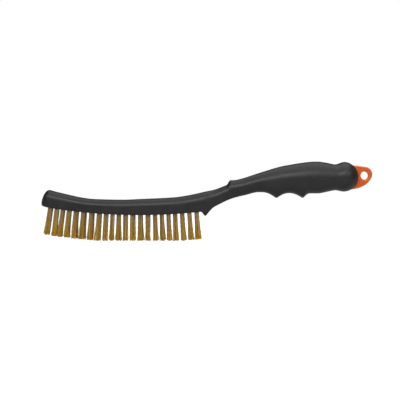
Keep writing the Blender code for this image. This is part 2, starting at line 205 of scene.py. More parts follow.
# %% Satin black plastic
def black_plastic():
    finish = Finish("satin_black_plastic", Specular_IOR_Level=0.5)
    where = finish.node("TexCoord", out="Object")
    clouds = finish.noise(where, 70.0, 3.0, 0.6)
    grain = finish.noise(where, 2800.0, 2.0, 0.6)
    specks = finish.ramp(finish.noise(where, 900.0, 1.0), (0.70, 0.0), (0.78, 1.0))
    across = finish.node("SeparateXYZ", {}, {"Vector": where}, "Y")
    seam = finish.ramp(abs(across) * 1000, (0.06, 1.0), (0.16, 0.0))
    dark, light = (0.0125, 0.0126, 0.0132), (0.0190, 0.0191, 0.0198)
    tone = finish.ramp(clouds, (0.35, 0.0), (0.65, 1.0))
    finish.paint(
        Base_Color=finish.mix(specks * 0.25, finish.mix(tone, dark, light), (0.05, 0.05, 0.05)),
        Roughness=0.34 + 0.06 * tone + 0.08 * (grain - 0.5),
        Normal=finish.bump(grain * 0.5 + seam * 1.6 + clouds * 0.6, 0.00004, 0.5),
    )
    return finish.material


BLACK = black_plastic()
print(f"{BLACK.name}: {len(BLACK.node_tree.nodes)} nodes")

# %% [markdown]
# ## Orange plastic
#
# The core and its eye are a hard glossier plastic, dyed through. The mould leaves it smooth,
# with long shallow ripples and a fine grain. A little light passes into it, so thin edges glow:
# that is the subsurface weight. The rounded rim and the hole's wall, which lie nearer the
# middle plane than the tab's two faces, are painted a paler orange: a painted highlight.


# %% Orange plastic
def orange_plastic():
    finish = Finish("orange_plastic", Subsurface_Weight=0.12, Subsurface_Scale=0.004)
    finish.paint(Subsurface_Radius=(1.0, 0.35, 0.1), Specular_IOR_Level=0.4)
    where = finish.node("TexCoord", out="Object")
    swirl = finish.noise(where, 110.0, 3.0, 0.55)
    grain = finish.noise(where, 2400.0, 1.0)
    tone = finish.ramp(swirl, (0.3, 0.0), (0.7, 1.0))
    from_middle = abs(finish.node("SeparateXYZ", {}, {"Vector": where}, "Y")) * 1000
    # Painted highlight: on the rim and the hole's wall, near the middle plane, the orange is
    # painted paler.
    rim_highlight = finish.ramp(from_middle / 4, (0.600, 1.0), (0.705, 0.0))
    flat = finish.mix(tone, (0.78, 0.107, 0.010), (0.90, 0.150, 0.016))
    finish.paint(
        Base_Color=finish.mix(rim_highlight * 0.8, flat, (0.97, 0.38, 0.085)),
        Roughness=0.30 + 0.10 * tone + 0.06 * (grain - 0.5),
        Normal=finish.bump(swirl + grain * 0.15, 0.00006, 0.35),
    )
    return finish.material


ORANGE = orange_plastic()
print(f"{ORANGE.name}: {len(ORANGE.node_tree.nodes)} nodes")

# %% [markdown]
# ## Brass wire
#
# Brass wire is drawn through a die, which leaves faint lines along it, and then crimped. The
# wires are golden at the cut tips and duller towards the roots: that is painted shade, where
# the block shades them. Each wire in the mesh carries two numbers: how far along it a point is,
# and a tone of its own. The material reads both, so that no two wires are quite the same.


# %% Brass wire
def brass_wire():
    finish = Finish("brass_wire", Metallic=1.0)
    along = finish.node("Attribute", {"attribute_name": "along"}, out="Fac")
    tone = finish.node("Attribute", {"attribute_name": "tone"}, out="Fac")
    where = finish.node("TexCoord", out="Object")
    tarnish = finish.ramp(finish.noise(where, 420.0, 3.0, 0.6), (0.45, 0.0), (0.75, 1.0))
    bright = finish.mix(tone, (0.66, 0.37, 0.040), (1.00, 0.70, 0.14))
    # Painted shade: towards the roots, where the block shades them, the wires are painted duller.
    shaded_root_colour = finish.mix(tone, (0.48, 0.325, 0.130), (0.86, 0.635, 0.285))
    colour = finish.mix(finish.ramp(along, (0.15, 0.0), (0.85, 1.0)), shaded_root_colour, bright)
    finish.paint(
        Base_Color=finish.mix(tarnish * 0.25, colour, (0.30, 0.17, 0.06)),
        Roughness=0.34 + 0.16 * tarnish + 0.08 * tone,
        Normal=finish.bump(finish.noise(where, 5200.0, 1.0), 0.00002, 0.4),
    )
    return finish.material


BRASS = brass_wire()
print(f"{BRASS.name}: {len(BRASS.node_tree.nodes)} nodes")

# %% [markdown]
# ## Anchor steel
#
# The flat anchor wires sit deep in the block, so they are only seen when the shell is taken
# off. They are rolled steel: bright, with fine lines along their length, which is a noise that
# is stretched along X.


# %% Anchor steel
def anchor_steel():
    finish = Finish("anchor_steel", Metallic=1.0)
    where = finish.node("TexCoord", out="Object")
    stretch = finish.node("Mapping", {}, {"Vector": where, "Scale": (60.0, 4000.0, 4000.0)})
    lines = finish.noise(stretch, 1.0, 3.0, 0.6)
    finish.paint(
        Base_Color=finish.mix(lines, (0.42, 0.42, 0.43), (0.60, 0.60, 0.62)),
        Roughness=0.26 + 0.18 * lines,
        Normal=finish.bump(lines, 0.00001, 0.5),
    )
    return finish.material


STEEL = anchor_steel()
for name in ("anchor_wire_front", "anchor_wire_back"):
    nodes[name].material_slots[0].material = STEEL
print(f"{STEEL.name} is on both anchor wires")

# %% [markdown]
# ## The lines that the handle is drawn from
#
# A moulded handle is drawn as a few lines: its top, its underside and its width along the
# brush. A smooth curve passes through a few points of each without overshooting, and the guard,
# the thumb step, the finger ridges and the swollen end are added to them as small shapes. The
# exact model uses the same lines, so the finer shell made here lies on it.
#
# Places along the brush are measured from the head's tip.

# %% Sizes of the handle
TRIM = 0.0228
HEAD_LENGTH = 0.1425
GRIP_LENGTH = 0.1130
NECK_LENGTH = 0.0202
FACE_RADIUS = 0.490
FACE_LOW_AT = 0.0858
HEAD_WIDTH, NECK_WIDTH, GRIP_WIDTH = 0.0150, 0.0124, 0.0238
HEAD_SKIN, GRIP_SKIN = 0.0016, 0.0026  # the shell's thickness over the core
NOSE_DEPTH, NOSE_HEIGHT, NOSE_LEAN = 0.0080, 0.0027, 1.6
DOME_DEPTH = 0.0090
GUARD_DROP, GUARD_FORE, GUARD_AFT, GUARD_ROUNDING = 0.0040, 0.0028, 0.0078, 0.0018
THUMB_STEP, THUMB_RAMP, THUMB_FADE = 0.0031, 0.0034, 0.0062
POMMEL_SWELL, POMMEL_BACK, POMMEL_REACH = 0.0013, 0.0122, 0.0080
EYE_THICKNESS, EYE_HOLE_RADIUS, EYE_RIM = 0.0058, 0.0036, 0.0029
EYE_BACK = 0.0055  # from the end of the shell to the hole's centre
EYE_LIFT = 0.0012  # how far the hole lies above the middle of the grip's end
EYE_RISE = 0.0010  # how much thicker the rim is above the hole
# How far the tab reaches above and below the grip's middle where it leaves the shell, and how
# far that place is from the shell's end.
EYE_ROOT_ABOVE, EYE_ROOT_BELOW, EYE_ROOT_DEPTH = 0.0102, 0.0109, 0.0057
EYE_TANG_HEIGHT, EYE_TANG_DEPTH = 0.0140, 0.0180  # the tab's hidden end in the grip
EYE_BELLY_SLOPE = 0.12
EYE_ARC = (math.radians(-25), math.radians(84))  # the round stretch of its outline
WINDOW_LENGTH, WINDOW_HEIGHT = 0.0120, 0.0050
WINDOW_AT = (0.32, 0.52, 0.72)  # shares of the grip's length
EYE_RADIUS = EYE_HOLE_RADIUS + EYE_RIM
GUARD_X = HEAD_LENGTH
THUMB_X = GUARD_X + NECK_LENGTH
END_X = THUMB_X + GRIP_LENGTH
HANDLE_LENGTH = END_X - GUARD_X
EYE_X = END_X + EYE_BACK
LENGTH = EYE_X + EYE_RADIUS
HEAD_THICKNESS = (
    (0.00, 0.0168),
    (0.10, 0.0147),
    (0.33, 0.0124),
    (0.50, 0.0132),
    (0.60, 0.0140),
    (0.81, 0.0146),
    (0.92, 0.0158),
    (1.00, 0.0172),
)
HANDLE_TOP = (
    (0.06, 0.0189),
    (0.14, 0.0229),
    (0.37, 0.0341),
    (0.53, 0.0400),
    (0.73, 0.0433),
    (0.79, 0.0424),
    (0.85, 0.0409),
    (0.91, 0.0417),
    (1.00, 0.0412),
)
HANDLE_UNDERSIDE = (
    (0.00, -0.0002),
    (0.06, 0.0039),
    (0.17, 0.0108),
    (0.27, 0.0143),
    (0.35, 0.0166),
    (0.55, 0.0158),
    (0.73, 0.0155),
    (0.86, 0.0183),
    (1.00, 0.0186),
)
GRIP_SWELL = ((0.16, 0.00), (0.36, 0.35), (0.55, 0.80), (0.73, 1.00), (0.86, 0.88), (1.00, 0.84))
# Each finger ridge: its share of the way from the guard, depth, and reach fore and aft.
FINGER_RIDGES = ((0.466, 0.0046, 0.0120, 0.0110), (0.638, 0.0039, 0.0112, 0.0060))
TIP_ROUNDING = 0.0009
CUSP_HOLLOW = 2.2
END_OPENING = 0.02  # the size of the first and last section, as a share of the full one
SHOULDER = 0.47  # the widest level of a section, as a share of its height
# The exponents of a section's upper and lower half: 2 is an ellipse, 9 is nearly a box.
HEAD_ROUNDNESS, GRIP_ROUNDNESS = (2.3, 9.0), (2.1, 2.2)
print(f"the handle is {LENGTH * 1000:.1f} mm long, eye included")


# %% Curves and crests
def smooth(points, x):
    """A curve through the points that never overshoots them, flat beyond its ends."""
    if x <= points[0][0]:
        return points[0][1]
    if x >= points[-1][0]:
        return points[-1][1]
    runs = [b[0] - a[0] for a, b in zip(points, points[1:])]
    rises = [(b[1] - a[1]) / run for (a, b), run in zip(zip(points, points[1:]), runs)]
    slopes = [rises[0]]
    for before, after in zip(rises, rises[1:]):
        slopes.append(0 if before * after <= 0 else 2 * before * after / (before + after))
    slopes.append(rises[-1])
    i = max(k for k, point in enumerate(points[:-1]) if point[0] <= x)
    t = (x - points[i][0]) / runs[i]
    start = (1 + 2 * t) * (1 - t) ** 2 * points[i][1]
    end = t * t * (3 - 2 * t) * points[i + 1][1]
    bend = t * (1 - t) ** 2 * slopes[i] - t * t * (1 - t) * slopes[i + 1]
    return start + end + bend * runs[i]


def ease(t):
    """0 to 1 with level ends."""
    t = min(max(t, 0), 1)
    return t * t * (3 - 2 * t)


def cusp(distance, fore, aft, rounding):
    """A crest of height 1 with hollow flanks and a rounded tip."""
    reach = fore if distance < 0 else aft
    rounded = math.hypot(distance, rounding) - rounding
    return max(0, 1 - rounded / reach) ** CUSP_HOLLOW


def face_height(x):
    """The arc that the tufts stand on."""
    return TRIM + FACE_RADIUS - math.sqrt(FACE_RADIUS**2 - (x - FACE_LOW_AT) ** 2)


GUARD_Z = face_height(GUARD_X)
TOP_LINE = [(s * GUARD_X, face_height(s * GUARD_X) + rise) for s, rise in HEAD_THICKNESS]
TOP_LINE += [(GUARD_X + s * HANDLE_LENGTH, GUARD_Z + rise) for s, rise in HANDLE_TOP]
UNDERSIDE_LINE = [(GUARD_X + s * HANDLE_LENGTH, GUARD_Z + r) for s, r in HANDLE_UNDERSIDE]
GRIP_MIDDLE = (TOP_LINE[-1][1] + UNDERSIDE_LINE[-1][1]) / 2
EYE_Z = GRIP_MIDDLE + EYE_LIFT
print(f"the grip's end is {GRIP_MIDDLE * 1000:.1f} mm above the tips")


# %% The outline at any place along the brush
def half_width(x):
    swell = smooth(GRIP_SWELL, (x - GUARD_X) / HANDLE_LENGTH)
    waist = ease((x - GUARD_X + GUARD_FORE) / (GUARD_FORE + GUARD_AFT))
    width = HEAD_WIDTH + waist * (NECK_WIDTH - HEAD_WIDTH)
    return (width + swell * (GRIP_WIDTH - NECK_WIDTH)) / 2


def thumb_bump(x):
    rise = ease((x - THUMB_X) / THUMB_RAMP + 0.5)
    return THUMB_STEP * rise * math.exp(-max(0, x - THUMB_X - THUMB_RAMP / 2) / THUMB_FADE)


def pommel_bump(x):
    away = (x - (END_X - POMMEL_BACK)) / POMMEL_REACH
    return POMMEL_SWELL * (0.5 + 0.5 * math.cos(math.pi * away)) if abs(away) < 1 else 0


def ridge_drop(x):
    drop = GUARD_DROP * cusp(x - GUARD_X, GUARD_FORE, GUARD_AFT, GUARD_ROUNDING)
    for share, depth, fore, aft in FINGER_RIDGES:
        drop += depth * cusp(x - GUARD_X - share * HANDLE_LENGTH, fore, aft, TIP_ROUNDING)
    return drop


def closing(x):
    """1 along the brush, falling to 0 on its two rounded ends."""
    nose = 1 - min(x, NOSE_DEPTH) / NOSE_DEPTH
    dome = 1 - min(END_X - x, DOME_DEPTH) / DOME_DEPTH
    return math.sqrt(max(0, 1 - max(nose, dome) ** 2))


def section(x):
    """Half the width, and the lowest, the widest and the highest level of the shell."""
    opened = max(closing(x), END_OPENING)
    high = smooth(TOP_LINE, x) + thumb_bump(x) + pommel_bump(x)
    low = face_height(x) if x <= GUARD_X else smooth(UNDERSIDE_LINE, x)
    low -= pommel_bump(x)
    on_nose = x < NOSE_DEPTH
    middle = low + NOSE_HEIGHT if on_nose else GRIP_MIDDLE
    high = middle + (high - middle) * (opened**NOSE_LEAN if on_nose else opened)
    low = middle + (low - middle) * (math.sqrt(opened) if on_nose else opened)
    shoulder = low + SHOULDER * (high - low)
    return (half_width(x) + pommel_bump(x)) * opened, low - ridge_drop(x), shoulder, high


print("guard's tip at", round(section(GUARD_X)[1] * 1000, 2), "mm above the wire tips")

# %% [markdown]
# ## The shell
#
# The head's section is a D on its back: flat under, upright at the sides, round on top. Towards
# the grip it turns into an oval. Two superellipses that meet at the widest level give both
# with one formula, because their exponents can change along the brush: 2 is an ellipse and 9 is
# nearly a box. A skin is then stretched through some hundreds of such sections. Subdividing
# the coarser exact shell would be shorter to write, but it would round off the guard's tip and
# the edges of the face.


# %% The shell's sections
SHELL_POINTS = 96
ROUNDED_RINGS, HEAD_RINGS, HANDLE_RINGS = 18, 70, 240
GUARD_LEAD = 0.006  # the sections get closer together this far before the guard


def ring_of_points(x, half, low, shoulder, high):
    """A section: an upper and a lower superellipse that meet at the shoulder."""
    past_guard = ease((x - GUARD_X + GUARD_FORE) / (2 * NECK_LENGTH))
    powers = [a + (b - a) * past_guard for a, b in zip(HEAD_ROUNDNESS, GRIP_ROUNDNESS)]
    points = []
    for k in range(SHELL_POINTS):
        angle = 2 * math.pi * k / SHELL_POINTS
        across, up = math.cos(angle), math.sin(angle)
        power = 2 / (powers[0] if up > 0 else powers[1])
        reach = high - shoulder if up > 0 else shoulder - low
        y = half * math.copysign(abs(across) ** power, across)
        z = shoulder + reach * math.copysign(abs(up) ** power, up)
        points.append((x - LENGTH / 2, y, z))
    return points


def shell_places():
    """Closer together at the ends, the guard, the thumb step and the ridges."""
    quarter = [math.pi / 2 * k / ROUNDED_RINGS for k in range(ROUNDED_RINGS + 1)]
    places = [NOSE_DEPTH * (1 - math.cos(a)) for a in quarter]
    places += [END_X - DOME_DEPTH * (1 - math.cos(a)) for a in quarter]
    near_guard = GUARD_X - GUARD_LEAD
    places += list(np.linspace(NOSE_DEPTH, near_guard, HEAD_RINGS)[1:])
    places += list(np.linspace(near_guard, END_X - DOME_DEPTH, HANDLE_RINGS)[1:-1])
    return sorted(places)


shell_rings = np.array([ring_of_points(x, *section(x)) for x in shell_places()])
# The exact shell has fewer sections, so its crest is lower by hundredths of a millimetre.
shell_rings[:, :, 2] = np.minimum(shell_rings[:, :, 2], cad_high.z)
print("the shell has", len(shell_rings), "sections of", SHELL_POINTS, "points")


# %% A skin through rings of points
def skin(name, rings):
    """A closed mesh through the rings, with a face over each end."""
    count, around = rings.shape[:2]
    first = np.arange(count - 1)[:, None] * around + np.arange(around)[None, :]
    after = np.arange(count - 1)[:, None] * around + np.roll(np.arange(around), -1)[None, :]
    quads = np.stack([first, after, after + around, first + around], -1).reshape(-1, 4)
    ends = [list(range(around))[::-1], list(range((count - 1) * around, count * around))]
    mesh = bpy.data.meshes.new(name)
    mesh.from_pydata(rings.reshape(-1, 3).tolist(), [], quads.tolist() + ends)
    made = bpy.data.objects.new(name, mesh)
    bpy.context.scene.collection.objects.link(made)
    weld(mesh)
    return made


def weld(mesh):
    """Joins the corners that coincide and turns every face outward."""
    bm = bmesh.new()
    bm.from_mesh(mesh)
    bmesh.ops.remove_doubles(bm, verts=bm.verts, dist=1e-6)
    bmesh.ops.recalc_face_normals(bm, faces=bm.faces)
    bm.to_mesh(mesh)
    bm.free()


shell = skin("shell", shell_rings)
print(shell.name, "has", len(shell.data.polygons), "faces before it is cut")

# %% [markdown]
# ## Where the tufts stand
#
# Each tuft's place and lean is read from its exact solid: the ring of points at its tips and
# the ring at its fold give its axis. Reading them, and not typing them again, keeps the wires
# in their bores if the exact model changes.


# %% Read each tuft's axis
def tuft_frame(node):
    """A matrix with its origin where the tuft leaves the face and its Z up into the head."""
    points = np.array([v.co for v in node.data.vertices], float)
    points = points[np.argsort(points[:, 2])]
    tips = points[points[:, 2] < points[0, 2] + 0.002].mean(0)
    fold = points[points[:, 2] > points[-1, 2] - 0.003].mean(0)
    up = Vector(fold - tips).normalized()
    turn = Vector((0, 0, 1)).rotation_difference(up).to_matrix().to_4x4()
    return Matrix.Translation(Vector(tips) + up * TRIM) @ turn


tuft_nodes = sorted(name for name in nodes if name.startswith("tuft_"))
tuft_frames = {name: tuft_frame(nodes[name]) for name in tuft_nodes}
for name in (tuft_nodes[0], tuft_nodes[-1]):
    print(name, [round(c * 1000, 2) for c in tuft_frames[name].translation])

# %% [markdown]
# ## Cut the bores, the slot and the pocket
#
# The block is drilled through the shell into the core, one bore for each tuft, and the shell's
# end is open where the eye comes out. One cutter holds every drill and the slot, so a single
# Boolean makes them. The drills' rims show around the roots of the wires.
#
# The shell is moulded over the core, so its inside has the core's form. A second cutter hollows
# it, with three windows left out where the shell's plastic runs through the core and locks it.
# The pocket is drawn from the same lines as the shell, and the exact core would be a coarser
# cutter. At the nose the pocket comes through the shell's top, so a patch of the core shows.

# %% The eye's side view
ARC_POINTS, BELLY_POINTS = 40, 20


def eye_outline(grow):
    """An arc beyond the hole, a straight back and a bowed belly, as (x, z) points."""
    radius, centre_z = EYE_RADIUS + grow, EYE_Z + EYE_RISE
    root_x, tang_x = END_X - EYE_ROOT_DEPTH, END_X - EYE_TANG_DEPTH - grow
    above, below = EYE_ROOT_ABOVE + grow, EYE_ROOT_BELOW + grow
    tang = EYE_TANG_HEIGHT / 2 + grow
    arc = np.linspace(*EYE_ARC, ARC_POINTS)
    outline = [(EYE_X + radius * math.cos(a), centre_z + radius * math.sin(a)) for a in arc]
    outline += [(root_x, GRIP_MIDDLE + above), (tang_x, GRIP_MIDDLE + tang)]
    outline += [(tang_x, GRIP_MIDDLE - tang)]
    root = (root_x, GRIP_MIDDLE - below)
    return outline + belly(root, EYE_BELLY_SLOPE, outline[0], EYE_ARC[0])


def belly(start, slope, end, angle):
    """A curve that leaves the start at a slope and runs onto the arc."""
    run, rise = end[0] - start[0], end[1] - start[1]
    back = (rise - slope * run) / (math.cos(angle) + slope * math.sin(angle))
    corner = (end[0] + back * math.sin(angle), end[1] - back * math.cos(angle))
    shares = np.linspace(0, 1, BELLY_POINTS, endpoint=False)[:, None]
    curve = (1 - shares) ** 2 * np.array(start) + shares**2 * np.array(end)
    return [tuple(p) for p in curve + 2 * shares * (1 - shares) * np.array(corner)]


print("the eye's outline has", len(eye_outline(0)), "points")


# %% A flat piece from its side view
def flat_piece(name, outlines, thickness, rounding=0.0):
    """A plate in the XZ plane, centred on Y = 0. Outlines inside the first are holes."""
    curve = bpy.data.curves.new(name, "CURVE")
    curve.dimensions = "2D"
    curve.fill_mode = "BOTH"
    curve.extrude = thickness / 2 - rounding
    curve.bevel_depth = rounding
    curve.bevel_resolution = 5 if rounding else 0
    curve.offset = -rounding
    for outline in outlines:
        spline = curve.splines.new("POLY")
        spline.points.add(len(outline) - 1)
        for point, (x, z) in zip(spline.points, outline):
            point.co = (x - LENGTH / 2, z, 0, 1)
        spline.use_cyclic_u = True
    flat = bpy.data.objects.new(name + "_curve", curve)
    bpy.context.scene.collection.objects.link(flat)
    bpy.context.view_layer.update()
    graph = bpy.context.evaluated_depsgraph_get()
    mesh = bpy.data.meshes.new_from_object(flat.evaluated_get(graph))
    mesh.transform(Matrix.Rotation(math.pi / 2, 4, "X"))
    bpy.data.objects.remove(flat)
    made = bpy.data.objects.new(name, mesh)
    bpy.context.scene.collection.objects.link(made)
    weld(mesh)
    return made


SEAM = 0.00012  # the gap between the shell and the eye
slot = flat_piece("slot", [eye_outline(SEAM)], EYE_THICKNESS + 2 * SEAM)
print("the slot's cutter has", len(slot.data.polygons), "faces")

# %% The drills
BORE_RADIUS, BORE_DEPTH = 0.0023, 0.0083
DRILL_BEYOND = 0.0020  # how far below the face a drill starts


def add_drill(bm, matrix):
    depth = BORE_DEPTH + DRILL_BEYOND
    middle = Matrix.Translation((0, 0, BORE_DEPTH - depth / 2))
    bmesh.ops.create_cone(
        bm,
        cap_ends=True,
        segments=40,
        radius1=BORE_RADIUS,
        radius2=BORE_RADIUS,
        depth=depth,
        matrix=matrix @ middle,
    )


def cut_away(thing, cutter):
    """Takes the cutter out of a piece and removes the cutter."""
    change = thing.modifiers.new("cut", "BOOLEAN")
    change.object = cutter
    change.operation = "DIFFERENCE"
    change.solver = "EXACT"
    bpy.context.view_layer.update()
    graph = bpy.context.evaluated_depsgraph_get()
    made = bpy.data.meshes.new_from_object(thing.evaluated_get(graph))
    thing.modifiers.clear()
    thing.data = made
    bpy.data.objects.remove(cutter)


drills = bmesh.new()
drills.from_mesh(slot.data)
for matrix in tuft_frames.values():
    add_drill(drills, matrix)
drills.to_mesh(slot.data)
drills.free()
print(len(tuft_frames), "drills are joined to the slot's cutter")


# %% Hollow, drill and slot the shell
POCKET_GAP = 0.0004  # wider than the exact gap, as the exact core is faceted
POCKET_RINGS, WINDOW_END_POINTS = 90, 16


def pocket_section(x):
    """The core's section with the gap around it."""
    inset = HEAD_SKIN + (GRIP_SKIN - HEAD_SKIN) * ease((x - GUARD_X) / NECK_LENGTH) - POCKET_GAP
    low = (face_height(x) if x <= GUARD_X else smooth(UNDERSIDE_LINE, x)) + inset
    high = smooth(TOP_LINE, x) - inset
    half = half_width(x) * closing(x) - inset
    if x < NOSE_DEPTH:
        high = low + (high - low) * closing(x)
    return ring_of_points(x, half, low, low + SHOULDER * (high - low), high)


def window_outline(share):
    """The plug of shell that fills one of the core's windows."""
    x = THUMB_X + share * GRIP_LENGTH
    z = (smooth(TOP_LINE, x) + smooth(UNDERSIDE_LINE, x)) / 2
    radius, straight = WINDOW_HEIGHT / 2 - POCKET_GAP, (WINDOW_LENGTH - WINDOW_HEIGHT) / 2
    half_turn = np.linspace(math.pi / 2, -math.pi / 2, WINDOW_END_POINTS)
    right = [(x + straight + radius * math.cos(a), z + radius * math.sin(a)) for a in half_turn]
    left = [(x - straight - radius * math.cos(a), z - radius * math.sin(a)) for a in half_turn]
    return right + left


pocket_places = np.linspace(2 * HEAD_SKIN, END_X - DOME_DEPTH - GRIP_SKIN, POCKET_RINGS)
pocket_rings = np.array([pocket_section(x) for x in pocket_places])
pocket_rings[0, :, 0] -= POCKET_GAP
pocket_rings[-1, :, 0] += POCKET_GAP
pocket = skin("pocket", pocket_rings)
for share in WINDOW_AT:
    cut_away(pocket, flat_piece("window", [window_outline(share)], GRIP_WIDTH))
cut_away(shell, pocket)
cut_away(shell, slot)
print("the shell has", len(shell.data.polygons), "faces after it is cut")


# %% Finish the shell
def finish_piece(piece, material, replaced, sharp=35):
    piece.data.materials.clear()
    piece.data.materials.append(material)
    piece.data.shade_smooth()
    piece.data.set_sharp_from_angle(angle=math.radians(sharp))
    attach(piece, "root")
    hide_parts(*replaced)


finish_piece(shell, BLACK, ["handle_overmould"])
print("the shell stands for handle_overmould")

# %% [markdown]
# ## The core and its eye
#
# The eye is the end of the hard core that carries the load through the handle. It is a plate
# with rounded edges and a round hole, so a filled curve with its bevel gives it directly: the
# outline and the hole are two loops of one curve, and both get the same rounding. Inside the
# shell the exact shank is kept as it is, because its bores, its channels for the anchor wires
# and its windows are already right. It overlaps the finer plate's tang, out of sight.

# %% The eye
EYE_ROUNDING = 0.0012
HOLE_POINTS = 64
turns = np.linspace(0, 2 * math.pi, HOLE_POINTS, endpoint=False)
across, up = EYE_HOLE_RADIUS * np.cos(turns), EYE_HOLE_RADIUS * np.sin(turns)
hole = list(zip(EYE_X + across, EYE_Z + up))
core = flat_piece("core_and_eye", [eye_outline(0), hole], EYE_THICKNESS, EYE_ROUNDING)
# The exact eye has fewer points, so it ends some thousandths of a millimetre sooner.
for vertex in core.data.vertices:
    vertex.co.x = min(vertex.co.x, cad_high.x)
print("the eye has", len(core.data.polygons), "faces")


# %% The drilled shank inside the shell
JOINT_X = END_X - 0.0150  # inside the shell, where the exact shank meets the finer eye
BLOCK = 0.2  # a block this large covers the exact eye

shank = bpy.data.objects.new("shank", nodes["handle_core"].data.copy())
bpy.context.scene.collection.objects.link(shank)
weld(shank.data)
beyond = [(JOINT_X, 0), (JOINT_X + BLOCK, 0), (JOINT_X + BLOCK, BLOCK), (JOINT_X, BLOCK)]
cut_away(shank, flat_piece("beyond", [beyond], BLOCK))
both = bmesh.new()
both.from_mesh(core.data)
both.from_mesh(shank.data)
both.to_mesh(core.data)
both.free()
bpy.data.objects.remove(shank)
finish_piece(core, ORANGE, ["handle_core"])
print("core and eye:", len(core.data.polygons), "faces")

# %% [markdown]
# ## The wires
#
# A tuft is a bunch of straight wires, folded in half over the flat anchor wire and driven into
# its bore, so 28 wires give 56 ends. Each wire is crimped: it waves by about a tenth of a
# millimetre, which keeps the ends apart. After cutting, the ends are never quite level: each
# tuft has shallow notches across it, some wires are short, and a few stray to the side. The
# bunch leans a little and opens towards its tips.
#
# Hair curves would be quicker to scatter, but the exact length, the fold and the waves are
# easier to hold as tubes along computed lines. All wires of one tuft are one mesh.

# %% Sizes of the wires
WIRES = 28
WIRE_RADIUS = 0.00017
ROOT_RADIUS = 0.00196
CRIMP = 0.00011
CRIMP_LENGTH = 0.0042
FOLD_Z, LEG_Z = 0.0068, 0.0050  # above the face: the folds, and where the legs turn into them
LEG_APART = 0.00045  # the least distance from the anchor's middle plane to a leg
WIRE_SIDES = 5
STATIONS = 22
OPENING = (1.05, 1.35)  # how much wider a tuft is at its tips
BOW = 0.00035  # the usual lean of a whole tuft at its tips
END_GAP = 0.0001  # the longest wire stops this far short
TABLE_GAP = 0.0002  # what stays free between the lowest tips and the table
UNEVEN = 0.00025  # the usual difference between the wires' lengths
NOTCH_DEPTH, NOTCH_SCALE = (0.0002, 0.0013), 0.00035  # notches are 2 pi times the scale apart
SHORT_SHARE, SHORT_BY = 0.2, (0.0005, 0.0020)
STRAY, STRAY_SHARE, STRAY_TIMES = 0.00030, 0.14, 2.2
MOST_OVER = 0.0012  # the ragged ends reach this far past the exact tuft's trimmed end
print(f"{len(tuft_frames) * WIRES} wires, {len(tuft_frames) * WIRES * 2} ends")


# %% Places of the wires in a bore
def half_disc(rng, count):
    """Evenly scattered places in one half of the bore, away from the anchor wire."""
    places = []
    gap = 0.9 * ROOT_RADIUS * math.sqrt(math.pi / 2 / count)
    while len(places) < count:
        y, x = -rng.uniform(0, ROOT_RADIUS), rng.uniform(-ROOT_RADIUS, ROOT_RADIUS)
        if math.hypot(x, y) > ROOT_RADIUS - WIRE_RADIUS:
            continue
        if all(math.hypot(x - a, y - b) > gap for a, b in places):
            places.append((x, y))
        gap *= 0.9995
    return np.array(places)


# %% One folded wire's line
def wire_lines(rng, room=0.0):
    """The lines of all wires of a tuft, in the tuft's own frame, as (wire, point, xyz).

    Room is how far the tuft's tips are above the table: up to MOST_OVER of it is used.
    """
    longest = TRIM - END_GAP + min(MOST_OVER, room)
    near, far = half_disc(rng, WIRES), half_disc(rng, WIRES) * (1, -1)
    down = np.linspace(0, 1, STATIONS) ** 0.9
    lines = []
    bow, opening = rng.normal(0, BOW, 2), rng.uniform(*OPENING)
    notch, start = rng.uniform(*NOTCH_DEPTH), rng.uniform(0, 2 * math.pi)
    for (ax, ay), (bx, by) in zip(near, far[rng.permutation(WIRES)]):
        sides = []
        for x, y in ((ax, ay), (bx, by)):
            length = longest - abs(rng.normal(0, UNEVEN))
            length -= notch * (0.5 + 0.5 * math.sin(x / NOTCH_SCALE + start))
            length -= rng.uniform(*SHORT_BY) if rng.random() < SHORT_SHARE else 0
            spread = 1 + (opening - 1) * down**1.5
            stray = rng.normal(0, STRAY, 2) * (STRAY_TIMES if rng.random() < STRAY_SHARE else 1)
            phase, heading = rng.uniform(0, 2 * math.pi, 2)
            wave = CRIMP * np.sin(2 * math.pi * down * length / CRIMP_LENGTH + phase)
            wave *= np.minimum(1, down * 8)
            line_x = x * spread + stray[0] * down**2 + wave * math.cos(heading) + bow[0] * down**2
            line_y = y * spread + stray[1] * down**2 + wave * math.sin(heading) + bow[1] * down**2
            sides.append(np.stack([line_x, line_y, -length * down], -1))
        top = FOLD_Z + rng.uniform(0.0001, 0.0009)
        legs = (ax, min(ay, -LEG_APART), LEG_Z), (bx, max(by, LEG_APART), LEG_Z)
        fold = [legs[0], ((ax + bx) / 2, 0, top), legs[1]]
        lines.append(np.concatenate([sides[0][::-1], fold, sides[1]]))
    return np.array(lines)


sample = wire_lines(np.random.default_rng(1))
print("a wire's line has", sample.shape[1], "points")


